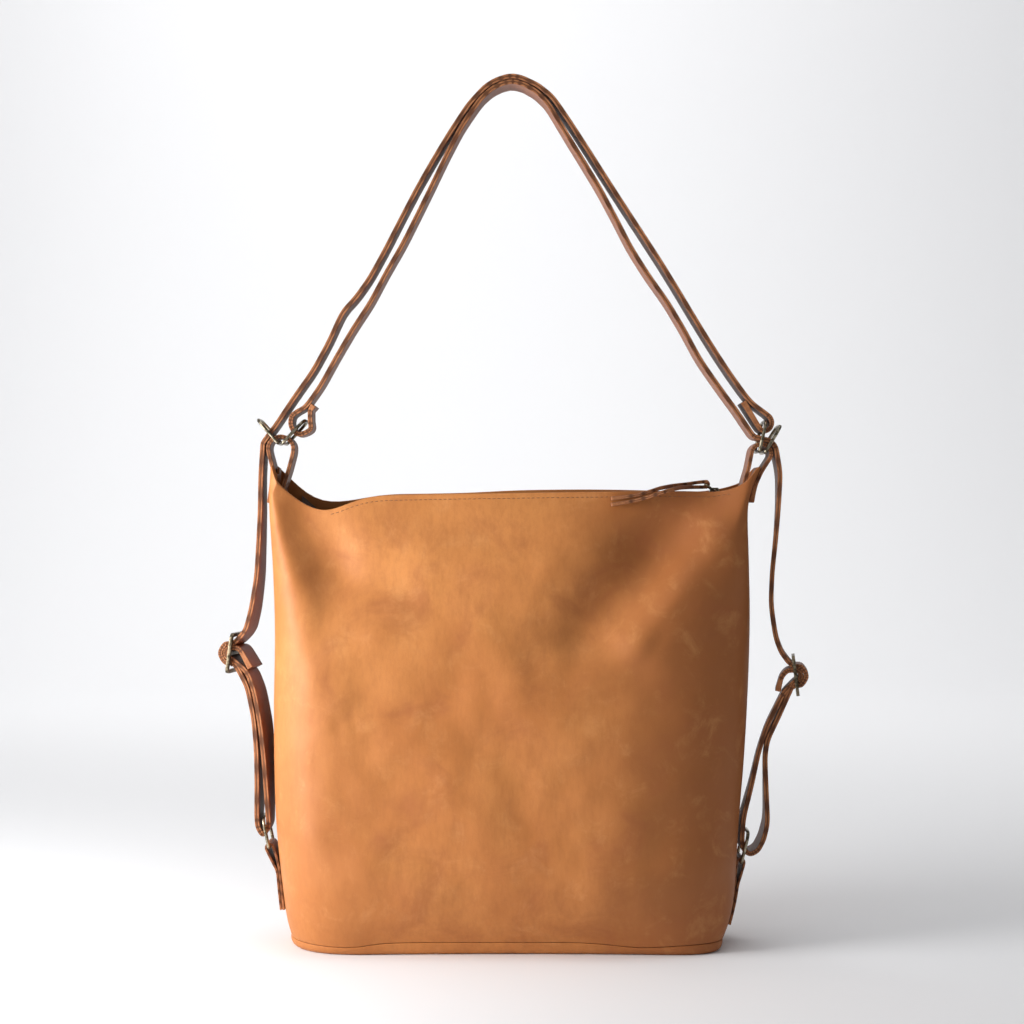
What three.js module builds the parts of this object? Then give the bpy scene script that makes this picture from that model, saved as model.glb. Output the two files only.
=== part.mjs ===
// A soft leather bag that is worn on one shoulder or, with its two long straps pulled down, on the back.
// Millimetres, +Z up. X runs from the wearer's left to right across the front leaf, which faces -Y.
// The bag stands on its base. The origin is under the middle of the whole, at the level of the floor.
import * as THREE from 'three';

// Body
const bodyWidth = 352;
const bodyHeight = 333;
const baseDepth = 110;
const mouthDepth = 40;
const earRise = 20;
const leather = 2;
const baseStrip = 9.5;
const baseEdgeRound = 3;
const seamTuck = 1.6;
const seamTuckHeight = 3.5;
const tabSeat = 3;
const tabCover = 0.92;

// Straps, their folded ends, and the tabs that hold the metal
const strapWidth = 25;
const strapThickness = 3.6;
const archHeight = 644.6;
const tabThickness = 3.4;
const leftArchRadius = 7.8;
const rightArchRadius = 5.6;
const leftArchOut = -4.7;
const leftArchRise = 33.5;
const rightArchOut = 8.6;
const rightArchRise = 30;
const tabOuterLeg = 26;
const tabInnerLeg = 34;
const tabEase = 2;
const sideTabLayer = 1.8;
const sideTabLength = 46;
const archFoot = 70;

// Metal
const ringWire = 3;
const ringLength = 26;
const ringCorner = 7;
const ringSlack = 1.2;
const sliderLength = 30;
const sliderBar = 2.6;
const sliderPlate = 2.4;
const sliderCorner = 4;
const leftSliderOut = 31.5;
const rightSliderOut = 35;
const leftLowerRingOff = 7;
const rightLowerRingOff = 4.2;

// Top zip
const zipMargin = 18;
const zipDrop = 3.5;
const zipSag = 1;
const zipTape = 1.2;
const teethWidth = 5.4;
const teethHeight = 2.4;
const zipSliderFromEnd = 7;
const zipSliderLength = 10;
const zipSliderHeight = 6.4;
const zipSliderWidth = 5;
const pullerLength = 10.5;
const pullerWire = 1.8;
const pullTailWidth = 6.5;
const pullTailThickness = 1.7;
const pullTailLength = 71;

// Clearances
const touch = 0.3;
const sideRoom = 1;

// Finishes
const bodyLeather = new THREE.MeshStandardMaterial({ color: 0xc07a3c, roughness: 0.5, metalness: 0 });
const strapLeather = new THREE.MeshStandardMaterial({ color: 0x7a4526, roughness: 0.5, metalness: 0 });
const agedBrass = new THREE.MeshStandardMaterial({ color: 0x8c8264, roughness: 0.35, metalness: 1 });
const zipCloth = new THREE.MeshStandardMaterial({ color: 0x3a2a1e, roughness: 0.8, metalness: 0 });

const halfBody = bodyWidth / 2;
const zipLength = bodyWidth - 2 * zipMargin;
const zipSliderPlace = zipLength / 2 - zipSliderFromEnd;
const bag = new THREE.Group();

function mix(from, to, share) {
  return from + (to - from) * share;
}

// A smooth curve through the rows of a table, read at one place in its first column.
function read(rows, key, at, column) {
  const last = rows.length - 1;
  let i = 0;
  while (i < last - 1 && at > rows[i + 1][key]) i += 1;
  const slope = (j) => {
    const a = rows[Math.max(j - 1, 0)];
    const b = rows[Math.min(j + 1, last)];
    return (b[column] - a[column]) / (b[key] - a[key]);
  };
  const [a, b] = [rows[i], rows[i + 1]];
  const span = b[key] - a[key];
  const t = THREE.MathUtils.clamp((at - a[key]) / span, 0, 1);
  const [t2, t3] = [t * t, t * t * t];
  return (2 * t3 - 3 * t2 + 1) * a[column] + (t3 - 2 * t2 + t) * span * slope(i)
    + (3 * t2 - 2 * t3) * b[column] + (t3 - t2) * span * slope(i + 1);
}

// Closed solids from rings of points, all with as many points: open runs get flat ends.
function loft(rings, endless = false) {
  const count = rings[0].length;
  const positions = rings.flat().flatMap((p) => [p.x, p.y, p.z]);
  const faces = [];
  const steps = endless ? rings.length : rings.length - 1;
  for (let i = 0; i < steps; i += 1) {
    for (let j = 0; j < count; j += 1) {
      const a = i * count + j;
      const b = i * count + (j + 1) % count;
      const c = ((i + 1) % rings.length) * count + j;
      const d = ((i + 1) % rings.length) * count + (j + 1) % count;
      faces.push(a, b, d, a, d, c);
    }
  }
  if (!endless) {
    const end = (rings.length - 1) * count;
    for (let j = 1; j < count - 1; j += 1) {
      faces.push(0, j + 1, j, end, end + j, end + j + 1);
    }
  }
  return solid(positions, faces);
}

// The faces are turned outwards when the volume that they close comes out negative.
function solid(positions, faces) {
  const corner = (i) => new THREE.Vector3().fromArray(positions, 3 * i);
  let volume = 0;
  for (let i = 0; i < faces.length; i += 3) {
    volume += corner(faces[i]).dot(corner(faces[i + 1]).cross(corner(faces[i + 2])));
  }
  const index = volume < 0 ? faces.toReversed() : faces;
  const geometry = new THREE.BufferGeometry();
  geometry.setAttribute('position', new THREE.Float32BufferAttribute(positions, 3));
  geometry.setIndex(index);
  geometry.computeVertexNormals();
  return geometry;
}

function add(name, geometry, material) {
  const mesh = new THREE.Mesh(geometry, material);
  mesh.name = name;
  bag.add(mesh);
  return mesh;
}

// The body from the floor up: half widths and heights as shares of the body's, and how far the depth
// has come from the mouth (0) to the base (1). The corners are shares of the half depth there. On the
// right the leaves bend back early: the bend is a share of the half width. The crown of the leaves is
// a share of the base's depth.
const bodyRows = [
  {
    height: 0, left: 0.93, right: 0.868, spread: 0.96,
    cornerLeft: 0.9, cornerRight: 0.45, crown: -0.07, bend: 0.2,
  },
  {
    height: 0.045, left: 0.945, right: 0.897, spread: 1.03,
    cornerLeft: 0.82, cornerRight: 0.47, crown: -0.02, bend: 0.28,
  },
  {
    height: 0.12, left: 0.962, right: 0.928, spread: 1.09,
    cornerLeft: 0.78, cornerRight: 0.6, crown: 0.02, bend: 0.38,
  },
  {
    height: 0.27, left: 0.989, right: 0.949, spread: 1.11,
    cornerLeft: 0.72, cornerRight: 0.7, crown: 0.03, bend: 0.43,
  },
  {
    height: 0.405, left: 0.997, right: 0.973, spread: 1.02,
    cornerLeft: 0.7, cornerRight: 0.74, crown: 0.03, bend: 0.45,
  },
  {
    height: 0.54, left: 1, right: 0.989, spread: 0.88,
    cornerLeft: 0.7, cornerRight: 0.74, crown: 0.03, bend: 0.44,
  },
  {
    height: 0.673, left: 0.997, right: 0.999, spread: 0.66,
    cornerLeft: 0.7, cornerRight: 0.72, crown: 0.02, bend: 0.34,
  },
  {
    height: 0.763, left: 1, right: 1, spread: 0.48,
    cornerLeft: 0.66, cornerRight: 0.66, crown: 0.01, bend: 0.2,
  },
  {
    height: 0.871, left: 1.008, right: 0.993, spread: 0.25,
    cornerLeft: 0.5, cornerRight: 0.5, crown: 0, bend: 0.1,
  },
  {
    height: 0.975, left: 1.02, right: 0.989, spread: 0.05,
    cornerLeft: 0.3, cornerRight: 0.3, crown: 0, bend: 0.035,
  },
  {
    height: 1.01, left: 1.018, right: 1.003, spread: 0.02,
    cornerLeft: 0.3, cornerRight: 0.3, crown: 0, bend: 0.035,
  },
  {
    height: 1.07, left: 1.012, right: 1.055, spread: 0,
    cornerLeft: 0.3, cornerRight: 0.3, crown: 0, bend: 0.035,
  },
];

// Folds and dents of the front leaf: each runs between two places, given as shares of the half width
// and of the height, and stands out (or in) by a share of the mouth's depth.
const frontFolds = [
  { x1: -0.88, z1: 0.96, x2: -0.72, z2: 0.82, width: 0.1, out: -0.2 },
  { x1: -0.72, z1: 0.82, x2: -0.5, z2: 0.8, width: 0.1, out: -0.13 },
  { x1: -0.98, z1: 1.02, x2: -0.9, z2: 0.7, width: 0.08, out: 0.1 },
  { x1: 0.82, z1: 0.98, x2: 0.55, z2: 0.86, width: 0.12, out: -0.2 },
  { x1: 0.55, z1: 0.86, x2: 0.25, z2: 0.68, width: 0.12, out: -0.15 },
  { x1: 0.96, z1: 1, x2: 0.45, z2: 0.66, width: 0.07, out: 0.13 },
  { x1: -0.15, z1: 0.98, x2: 0.3, z2: 0.94, width: 0.1, out: 0.06 },
  { x1: -0.75, z1: 0.2, x2: -0.35, z2: 0.16, width: 0.1, out: 0.1 },
  { x1: 0.35, z1: 0.14, x2: 0.75, z2: 0.2, width: 0.12, out: 0.08 },
  { x1: -0.2, z1: 0.55, x2: 0.1, z2: 0.3, width: 0.16, out: -0.06 },
];
const backFolds = [
  { x1: -0.85, z1: 0.96, x2: -0.4, z2: 0.74, width: 0.12, out: -0.17 },
  { x1: 0.85, z1: 0.96, x2: 0.45, z2: 0.76, width: 0.12, out: -0.17 },
  { x1: -0.6, z1: 0.2, x2: 0.1, z2: 0.14, width: 0.12, out: 0.08 },
  { x1: 0.1, z1: 0.6, x2: 0.25, z2: 0.3, width: 0.16, out: -0.06 },
];

// The top edges from ear to ear: places as shares of the half width, rises as shares of the ears'.
const frontEdge = [
  { at: -1.02, rise: 1.1 },
  { at: -0.985, rise: 0.45 },
  { at: -0.965, rise: 0.06 },
  { at: -0.93, rise: -0.18 },
  { at: -0.895, rise: -0.28 },
  { at: -0.84, rise: -0.58 },
  { at: -0.785, rise: -0.69 },
  { at: -0.72, rise: -0.52 },
  { at: -0.66, rise: -0.18 },
  { at: -0.57, rise: -0.05 },
  { at: 0, rise: 0.05 },
  { at: 0.4, rise: 0.1 },
  { at: 0.8, rise: 0.12 },
  { at: 0.93, rise: 0.05 },
  { at: 0.962, rise: 0.34 },
  { at: 0.98, rise: 0.85 },
  { at: 0.992, rise: 1.02 },
];
const backEdge = [
  { at: -1.02, rise: 1.1 },
  { at: -0.985, rise: 0.88 },
  { at: -0.92, rise: 0.36 },
  { at: -0.87, rise: -0.1 },
  { at: -0.8, rise: -0.5 },
  { at: -0.73, rise: -0.4 },
  { at: -0.665, rise: -0.04 },
  { at: -0.57, rise: 0.02 },
  { at: -0.2, rise: 0.07 },
  { at: 0, rise: 0.17 },
  { at: 0.4, rise: 0.2 },
  { at: 0.8, rise: 0.1 },
  { at: 0.93, rise: 0.08 },
  { at: 0.962, rise: 0.38 },
  { at: 0.98, rise: 0.86 },
  { at: 0.992, rise: 1.02 },
];

// The seam round the base, which the full leaves press down in two places of the front.
const seamRows = [
  { at: -1, sag: 0.2 },
  { at: -0.8, sag: 0.3 },
  { at: -0.66, sag: 0.42 },
  { at: -0.5, sag: 0.05 },
  { at: 0, sag: 0 },
  { at: 0.35, sag: 0.05 },
  { at: 0.54, sag: 0.4 },
  { at: 0.7, sag: 0.25 },
  { at: 1, sag: 0.05 },
];

function foldsAt(folds, x, z) {
  let out = 0;
  for (const fold of folds) {
    const [x1, z1] = [fold.x1 * halfBody, fold.z1 * bodyHeight];
    const [dx, dz] = [fold.x2 * halfBody - x1, fold.z2 * bodyHeight - z1];
    const t = THREE.MathUtils.clamp(((x - x1) * dx + (z - z1) * dz) / (dx * dx + dz * dz), 0, 1);
    const away = Math.hypot(x - x1 - t * dx, z - z1 - t * dz) / (fold.width * halfBody);
    out += fold.out * mouthDepth * Math.exp(-away * away);
  }
  return out;
}

// A point of one leaf. Along it runs from 0, the left side seam, over 1 to 2 at the left front corner,
// 2 to 4 across the face and 4 to 5 at the right corner to 6, the right side seam.
function leafPoint(leaf, along, z, inset) {
  const share = z / bodyHeight;
  const value = (column) => read(bodyRows, 'height', share, column);
  const left = value('left') * halfBody;
  const right = value('right') * halfBody;
  const depth = mix(mouthDepth / 2, baseDepth / 2, value('spread'));
  const cornerLeft = value('cornerLeft') * depth;
  const cornerRight = value('cornerRight') * depth;
  const mirrored = along > 3;
  const place = mirrored ? 6 - along : along;
  const half = mirrored ? right : left;
  const corner = mirrored ? cornerRight : cornerLeft;
  const bendRight = value('bend') * halfBody;
  const bend = mirrored ? bendRight : cornerLeft;
  let [x, y, nx, ny] = [-half, 0, -1, 0];
  if (place < 1) {
    y = mix(touch / 2, depth - corner, place);
  } else if (place < 2) {
    const angle = (place - 1) * Math.PI / 2;
    x = -half + bend * (1 - Math.cos(angle));
    y = depth - corner * (1 - Math.sin(angle));
    [nx, ny] = [-Math.cos(angle) * corner, Math.sin(angle) * bend];
    const length = Math.hypot(nx, ny);
    [nx, ny] = [nx / length, ny / length];
  } else {
    x = mix(-left + cornerLeft, right - bendRight, (along - 2) / 2) * (mirrored ? -1 : 1);
    [y, nx, ny] = [depth, 0, 1];
  }
  x *= mirrored ? -1 : 1;
  nx *= mirrored ? -1 : 1;
  const across = x / (x < 0 ? left : right);
  y += value('crown') * baseDepth * (1 - across * across) * ny;
  const seat = mirrored || place > tabCover ? 0 : tabSeat * THREE.MathUtils.smoothstep(share, 0.8, 0.95);
  const tuck = seamTuck * Math.exp(-(((z - baseStrip) / seamTuckHeight) ** 2));
  const out = foldsAt(leaf.folds, x, z) * ny * ny - seat - tuck - inset;
  return new THREE.Vector3(x + nx * out, (y + ny * out) * leaf.side, z);
}

function topEdge(leaf, x) {
  return bodyHeight + earRise * read(leaf.edge, 'at', x / halfBody, 'rise');
}

function seamHeight(leaf, along) {
  const x = leafPoint(leaf, along, 0, 0).x;
  return baseStrip * (1 - read(seamRows, 'at', x / halfBody, 'sag'));
}

// The upright places of a leaf's columns, closer together round the corners.
function leafColumns(faceSteps) {
  const columns = [0, tabCover];
  for (let i = 0; i < 4; i += 1) columns.push(1 + i / 4);
  for (let i = 0; i <= faceSteps; i += 1) columns.push(2 + 2 * i / faceSteps);
  for (let i = 1; i < 5; i += 1) columns.push(4 + i / 4);
  columns.push(6 - tabCover, 6);
  return columns;
}

// One leaf: an outer and an inner grid, closed along all four edges. Its rows crowd together at the
// seam and at the top edge.
const rowCrowding = 0.0286;
function leafSolid(leaf) {
  const columns = leafColumns(leaf.columns);
  const rings = [];
  for (const along of columns) {
    const outer = [];
    const inner = [];
    for (let i = 0; i <= leaf.rows; i += 1) {
      const share = i / leaf.rows;
      const guess = leafPoint(leaf, along, bodyHeight * share, 0).x;
      const low = seamHeight(leaf, along) + touch / 2;
      const ease = share - rowCrowding * Math.sin(2 * Math.PI * share);
      const z = mix(low, topEdge(leaf, guess), ease);
      outer.push(leafPoint(leaf, along, z, 0));
      inner.push(leafPoint(leaf, along, z, leather));
    }
    rings.push([...outer, ...inner.reverse()]);
  }
  return walled(rings, leaf.rows + 1);
}

// A loft whose rings are two long rows of points, so its flat ends are cut into a strip.
function walled(rings, row) {
  const count = 2 * row;
  const positions = rings.flat().flatMap((p) => [p.x, p.y, p.z]);
  const faces = [];
  for (let i = 0; i < rings.length - 1; i += 1) {
    for (let j = 0; j < count; j += 1) {
      const a = i * count + j;
      const b = i * count + (j + 1) % count;
      faces.push(a, b, b + count, a, b + count, a + count);
    }
  }
  const end = (rings.length - 1) * count;
  for (let j = 0; j < row - 1; j += 1) {
    const [k, l] = [count - 1 - j, count - 2 - j];
    faces.push(j, l, j + 1, j, k, l);
    faces.push(end + j, end + j + 1, end + l, end + j, end + l, end + k);
  }
  return solid(positions, faces);
}

const frontLeaf = { side: -1, folds: frontFolds, edge: frontEdge, columns: 20, rows: 23 };
const backLeaf = { side: 1, folds: backFolds, edge: backEdge, columns: 14, rows: 19 };

add('front_panel', leafSolid(frontLeaf), bodyLeather);
add('back_panel', leafSolid(backLeaf), bodyLeather);

// The base: a flat sheet with its edge turned up to the seam, all round.
function basePanel() {
  const front = leafColumns(frontLeaf.columns).map((along) => [frontLeaf, along]);
  const back = leafColumns(backLeaf.columns).map((along) => [backLeaf, along]);
  const loop = [...front, ...back.slice(1, -1).reverse()];
  const level = (height, inset) => loop.map(([leaf, along]) => {
    const z = height === 'rim' ? seamHeight(leaf, along) - touch / 2 : height;
    const point = leafPoint(leaf, along, z, inset);
    if (along === 0 || along === 6) point.y = 0;
    return point;
  });
  const rings = [
    level(0, baseEdgeRound + leather),
    level(0, baseEdgeRound),
    level(baseEdgeRound * 0.3, baseEdgeRound * 0.3),
    level(baseEdgeRound, 0),
    level('rim', 0),
    level('rim', leather),
    level(leather + baseEdgeRound * 0.5, leather),
    level(leather, leather + baseEdgeRound * 0.7),
  ];
  const count = loop.length;
  const positions = rings.flat().flatMap((p) => [p.x, p.y, p.z]);
  const faces = [];
  for (let i = 0; i < rings.length - 1; i += 1) {
    for (let j = 0; j < count; j += 1) {
      const k = (j + 1) % count;
      faces.push(i * count + j, (i + 1) * count + k, i * count + k);
      faces.push(i * count + j, (i + 1) * count + j, (i + 1) * count + k);
    }
  }
  const under = rings.length * count;
  positions.push(0, 0, 0, 0, 0, leather);
  for (let j = 0; j < count; j += 1) {
    const k = (j + 1) % count;
    faces.push(under, j, k);
    faces.push(under + 1, under - count + k, under - count + j);
  }
  return solid(positions, faces);
}

add('base_panel', basePanel(), bodyLeather);

// A strip or wire runs through stations: each has its place and the direction of its width.
function strip(stations, width, thickness) {
  const rings = stations.map((station, i) => {
    const before = stations[Math.max(i - 1, 0)].place;
    const after = stations[Math.min(i + 1, stations.length - 1)].place;
    const along = after.clone().sub(before).normalize();
    const across = station.across.clone().addScaledVector(along, -along.dot(station.across)).normalize();
    const out = across.clone().cross(along);
    const corner = (a, b) => station.place.clone()
      .addScaledVector(across, a * width / 2).addScaledVector(out, b * thickness / 2);
    return [corner(-1, -1), corner(1, -1), corner(1, 1), corner(-1, 1)];
  });
  return loft(rings);
}

// A route in the XZ plane, with its turn about the upright, is smoothed and keeps a station wherever
// it has bent far enough, in radians, or run far enough since the last one.
const strapTurn = 0.24;
const strapStep = 24;
const tabTurn = 0.3;
const tabStep = 12;
const sideTabStep = 8;
const headingOf = (way) => Math.atan2(way.z, way.x);
function stationsAlong(points, pivot, maxTurn, maxStep) {
  const curve = new THREE.CatmullRomCurve3(points.map((p) => new THREE.Vector3(p.x, p.yaw ?? 0, p.z)));
  curve.curveType = 'centripetal';
  const fine = curve.getPoints(points.length * 40);
  const kept = [fine[0]];
  let heading = fine[1].clone().sub(fine[0]);
  for (let i = 1; i < fine.length - 1; i += 1) {
    const ahead = fine[i + 1].clone().sub(fine[i]);
    const turn = headingOf(ahead) - headingOf(heading);
    const bent = Math.abs(Math.atan2(Math.sin(turn), Math.cos(turn)));
    if (bent > maxTurn || fine[i].distanceTo(kept.at(-1)) > maxStep) {
      kept.push(fine[i]);
      heading = ahead;
    }
  }
  if (kept.at(-1).distanceTo(fine.at(-1)) < 1) kept.pop();
  kept.push(fine.at(-1));
  return kept.map((p) => {
    const yaw = THREE.MathUtils.degToRad(p.y);
    const away = p.x - pivot;
    return {
      place: new THREE.Vector3(pivot + away * Math.cos(yaw), -away * Math.sin(yaw), p.z),
      across: new THREE.Vector3(Math.sin(yaw), Math.cos(yaw), 0),
    };
  });
}

function polar(centre, angle, radius, yaw = 0) {
  const turn = THREE.MathUtils.degToRad(angle);
  return { x: centre.x + radius * Math.cos(turn), z: centre.z + radius * Math.sin(turn), yaw };
}

// The points of a route, moved sideways by a distance of their own: left of the way it runs.
function beside(points, distances) {
  return points.map((p, i) => {
    const before = points[Math.max(i - 1, 0)];
    const after = points[Math.min(i + 1, points.length - 1)];
    const [dx, dz] = [after.x - before.x, after.z - before.z];
    const length = Math.hypot(dx, dz);
    return { x: p.x - dz / length * distances[i], z: p.z + dx / length * distances[i], yaw: p.yaw };
  });
}

// A rounded metal loop of round wire: its lower bar lies at a place, and it rises at a tilt. Its
// lower corners are tight, as shares of the wire.
const tightCorner = 0.6;
function wireLoop(bar, tilt, length, innerWidth, wire, corner) {
  const [half, rise] = [(innerWidth + wire) / 2, length - wire];
  const square = wire * tightCorner;
  const outline = new THREE.Shape();
  outline.moveTo(-half + square, 0);
  outline.lineTo(half - square, 0);
  outline.absarc(half - square, square, square, -Math.PI / 2, 0);
  outline.absarc(half - corner, rise - corner, corner, 0, Math.PI / 2);
  outline.absarc(-half + corner, rise - corner, corner, Math.PI / 2, Math.PI);
  outline.absarc(-half + square, square, square, Math.PI, 1.5 * Math.PI);
  const flat = outline.getPoints(2).filter((p, i, all) => p.distanceTo(all.at(i - 1)) > 0.01);
  const rings = flat.map((p, i) => {
    const way = flat[(i + 1) % flat.length].clone().sub(flat.at(i - 1)).normalize();
    const ring = [];
    for (let j = 0; j < 6; j += 1) {
      const angle = j * Math.PI / 3;
      const out = wire / 2 * Math.cos(angle);
      ring.push(new THREE.Vector3(p.x + way.y * out, p.y - way.x * out, wire / 2 * Math.sin(angle)));
    }
    return ring;
  });
  return loft(rings, true).applyMatrix4(standing(bar, tilt, 0));
}

// Turns a flat piece drawn with its width along X and its length along Y to stand at a place.
function standing(place, tilt, yaw) {
  const [t, a] = [THREE.MathUtils.degToRad(tilt), THREE.MathUtils.degToRad(yaw)];
  const across = new THREE.Vector3(Math.sin(a), Math.cos(a), 0);
  const along = new THREE.Vector3(Math.cos(t) * Math.cos(a), -Math.cos(t) * Math.sin(a), Math.sin(t));
  const matrix = new THREE.Matrix4().makeBasis(across, along, across.clone().cross(along));
  return matrix.setPosition(place.x, place.y ?? 0, place.z);
}

const ringInner = strapWidth + sideRoom;
const layerStep = strapThickness + touch;

function wallX(side, z) {
  return leafPoint(frontLeaf, side < 0 ? 0 : 6, z, 0).x;
}

// Where the metal sits, from the body's sides and height. Yaw is a turn about the upright.
const leftArch = { x: -halfBody - leftArchOut, z: bodyHeight + leftArchRise, radius: leftArchRadius };
const rightArch = { x: halfBody + rightArchOut, z: bodyHeight + rightArchRise, radius: rightArchRadius };
const leftSlider = { x: -halfBody - leftSliderOut, z: bodyHeight * 0.646, yaw: 10, tilt: 82 };
const rightSlider = { x: halfBody + rightSliderOut, z: bodyHeight * 0.598, yaw: 7.5, tilt: 97 };

function lowerRing(side, height, off, tilt) {
  const z = bodyHeight * height;
  return { x: wallX(side, z) + side * off, z, tilt };
}
const leftLowerRing = lowerRing(-1, 0.215, leftLowerRingOff, 102);
const rightLowerRing = lowerRing(1, 0.182, rightLowerRingOff, 76);

// The top tabs: one leg outside the ear and one inside, and an arch above it that holds two rings.
function topTab(side, arch) {
  const wall = wallX(side, bodyHeight);
  const ear = Math.max(topEdge(frontLeaf, wall), topEdge(backLeaf, wall));
  const outside = (down, ease) => ({
    x: wallX(side, ear - down) + side * (touch + ease + tabThickness / 2),
    z: ear - down,
  });
  const inside = (down, ease) => ({
    x: wallX(side, ear - down) - side * (leather + touch + ease + tabThickness / 2),
    z: ear - down,
  });
  const radius = arch.radius + tabThickness / 2;
  const arc = [];
  for (let angle = -15; angle <= 195; angle += 35) {
    arc.push(polar(arch, side < 0 ? 180 - angle : angle, radius));
  }
  const points = [outside(tabOuterLeg, tabEase / 2), outside(tabOuterLeg / 2, 0), outside(2 * leather, 0),
    outside(0, 0), ...arc, inside(tabInnerLeg / 2, tabEase), inside(tabInnerLeg * 0.75, tabEase / 3),
    inside(tabInnerLeg, 0)];
  return strip(stationsAlong(points, 0, tabTurn, tabStep), strapWidth, tabThickness);
}

add('top_tab_left', topTab(-1, leftArch), strapLeather);
add('top_tab_right', topTab(1, rightArch), strapLeather);

// The rings' lower bars lie side by side under the arch of the tab.
const topRings = [
  { name: 'ring_pass_left', arch: leftArch, steps: 1, tilt: 131 },
  { name: 'ring_fixed_left', arch: leftArch, steps: -1, tilt: 47 },
  { name: 'ring_pass_right', arch: rightArch, steps: -1.5, tilt: 59 },
  { name: 'ring_fixed_right', arch: rightArch, steps: 1, tilt: 77 },
];
for (const ring of topRings) {
  const seat = ring.arch.radius - touch - ringWire / 2 - ringSlack;
  const step = THREE.MathUtils.radToDeg(Math.asin((ringWire + 2 * touch) / 2 / seat));
  ring.lower = polar(ring.arch, 90 + ring.steps * step, seat);
  ring.upper = polar(ring.lower, ring.tilt, ringLength - ringWire);
  add(ring.name, wireLoop(ring.lower, ring.tilt, ringLength, ringInner, ringWire, ringCorner), agedBrass);
}

// The side tabs: a strip from the lower side seam, up round the bar of a ring and back down.
function sideTab(side, ring) {
  const layer = (z, step) => ({ x: wallX(side, z) + side * (touch + sideTabLayer / 2 + step), z });
  const second = sideTabLayer + touch;
  const radius = (ringWire + sideTabLayer) / 2 + touch;
  const low = ring.z - sideTabLength;
  const round = [150, 95, 40, -15].map((angle) => polar(ring, side < 0 ? 180 - angle : angle, radius));
  const places = [0, 0.12, 0.24, 0.36, 0.48, 0.62].map((share) => mix(low, ring.z, share));
  const points = [...places.map((z) => layer(z, 0)), ...round,
    ...places.reverse().map((z) => layer(z, second))];
  return strip(stationsAlong(points, 0, tabTurn, sideTabStep), strapWidth, sideTabLayer);
}

for (const [side, word, ring] of [[-1, 'left', leftLowerRing], [1, 'right', rightLowerRing]]) {
  add(`side_tab_${word}`, sideTab(side, ring), strapLeather);
  add(`ring_lower_${word}`,
    wireLoop(ring, ring.tilt, ringLength, ringInner, ringWire, ringCorner), agedBrass);
}

// The sliders: a flat plate with two slots. The bar between them carries the strap's sewn end, and the
// strap itself runs over that end.
function sliderPlateSolid(slider, pivot) {
  const [width, length] = [ringInner + 2 * sliderBar, sliderLength];
  const plate = new THREE.Shape();
  const [w, l, r] = [width / 2, length / 2, sliderCorner];
  plate.moveTo(-w + r, -l);
  plate.lineTo(w - r, -l);
  plate.absarc(w - r, -l + r, r, -Math.PI / 2, 0);
  plate.absarc(w - r, l - r, r, 0, Math.PI / 2);
  plate.absarc(-w + r, l - r, r, Math.PI / 2, Math.PI);
  plate.absarc(-w + r, -l + r, r, Math.PI, 1.5 * Math.PI);
  for (const side of [-1, 1]) {
    const [near, far] = [side * sliderBar / 2, side * (l - sliderBar)];
    const slot = new THREE.Path();
    slot.moveTo(-ringInner / 2, near);
    slot.lineTo(-ringInner / 2, far);
    slot.lineTo(ringInner / 2, far);
    slot.lineTo(ringInner / 2, near);
    slot.closePath();
    plate.holes.push(slot);
  }
  const geometry = new THREE.ExtrudeGeometry(plate, {
    depth: sliderPlate,
    bevelEnabled: false,
    curveSegments: 4,
  });
  geometry.translate(0, 0, -sliderPlate / 2);
  const yaw = THREE.MathUtils.degToRad(slider.yaw);
  const away = slider.x - pivot;
  const place = { x: pivot + away * Math.cos(yaw), y: -away * Math.sin(yaw), z: slider.z };
  return geometry.applyMatrix4(standing(place, slider.tilt, slider.yaw));
}

add('slider_left', sliderPlateSolid(leftSlider, leftLowerRing.x), agedBrass);
add('slider_right', sliderPlateSolid(rightSlider, rightLowerRing.x), agedBrass);

// How each strap hangs from its tab to its slider: how far out of the body's half width, as a share of
// the strap's width, and how far down from the arch of the tab to the slider's bar.
const hangLeft = [
  { out: 0.4, down: 0.103, yaw: 0 },
  { out: 0.39, down: 0.216, yaw: 1 },
  { out: 0.42, down: 0.369, yaw: 2 },
  { out: 0.448, down: 0.502, yaw: 4 },
  { out: 0.504, down: 0.661, yaw: 6 },
  { out: 0.65, down: 0.8, yaw: 9 },
  { out: 0.8, down: 0.885, yaw: 10 },
];
const hangRight = [
  { out: 0.92, down: 0.099, yaw: 2 },
  { out: 0.9, down: 0.173, yaw: 4 },
  { out: 0.868, down: 0.284, yaw: 6 },
  { out: 0.82, down: 0.377, yaw: 7 },
  { out: 0.748, down: 0.47, yaw: 7.5 },
  { out: 0.7, down: 0.562, yaw: 7.5 },
  { out: 0.67, down: 0.661, yaw: 7.5 },
  { out: 0.71, down: 0.74, yaw: 7.5 },
  { out: 0.8, down: 0.82, yaw: 7.5 },
  { out: 0.98, down: 0.895, yaw: 7.5 },
];

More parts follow.
